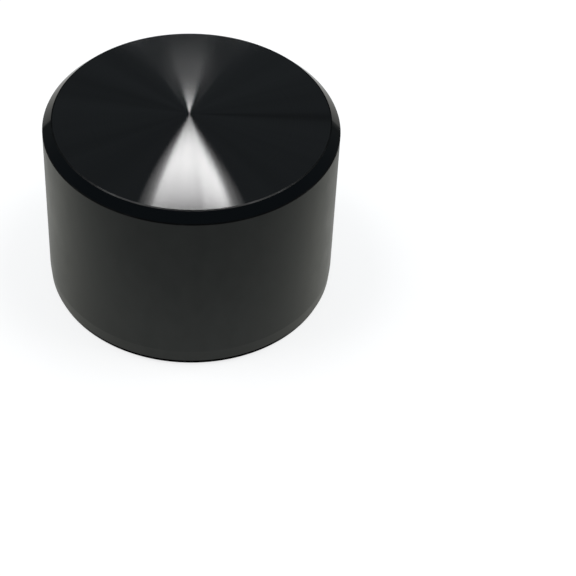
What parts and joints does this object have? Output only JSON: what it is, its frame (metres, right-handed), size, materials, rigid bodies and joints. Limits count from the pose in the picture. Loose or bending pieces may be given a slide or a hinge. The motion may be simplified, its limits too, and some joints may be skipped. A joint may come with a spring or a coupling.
{
  "type": "control knob",
  "caption": "Round black control knob: turned metal shell with a spun face and bevelled edge over a ribbed moulded insert with a sprung D-shaft socket.",
  "frame": {"origin": "middle of the rim that stands on the panel", "axes": "+Z along the shaft axis towards the face, +Y through the middle of the socket's flat"},
  "size_m": [0.04, 0.04, 0.027],
  "materials": {
    "anodised_shell": "black anodised: circular spun face, bright bevel, satin side",
    "moulded_insert": "black moulding, semi-gloss",
    "spring_wire": "bright drawn wire"
  },
  "bodies": {
    "root": {"outer_shell": "anodised_shell", "core_insert": "moulded_insert", "spring_ring": "spring_wire"}
  },
  "joints": []
}
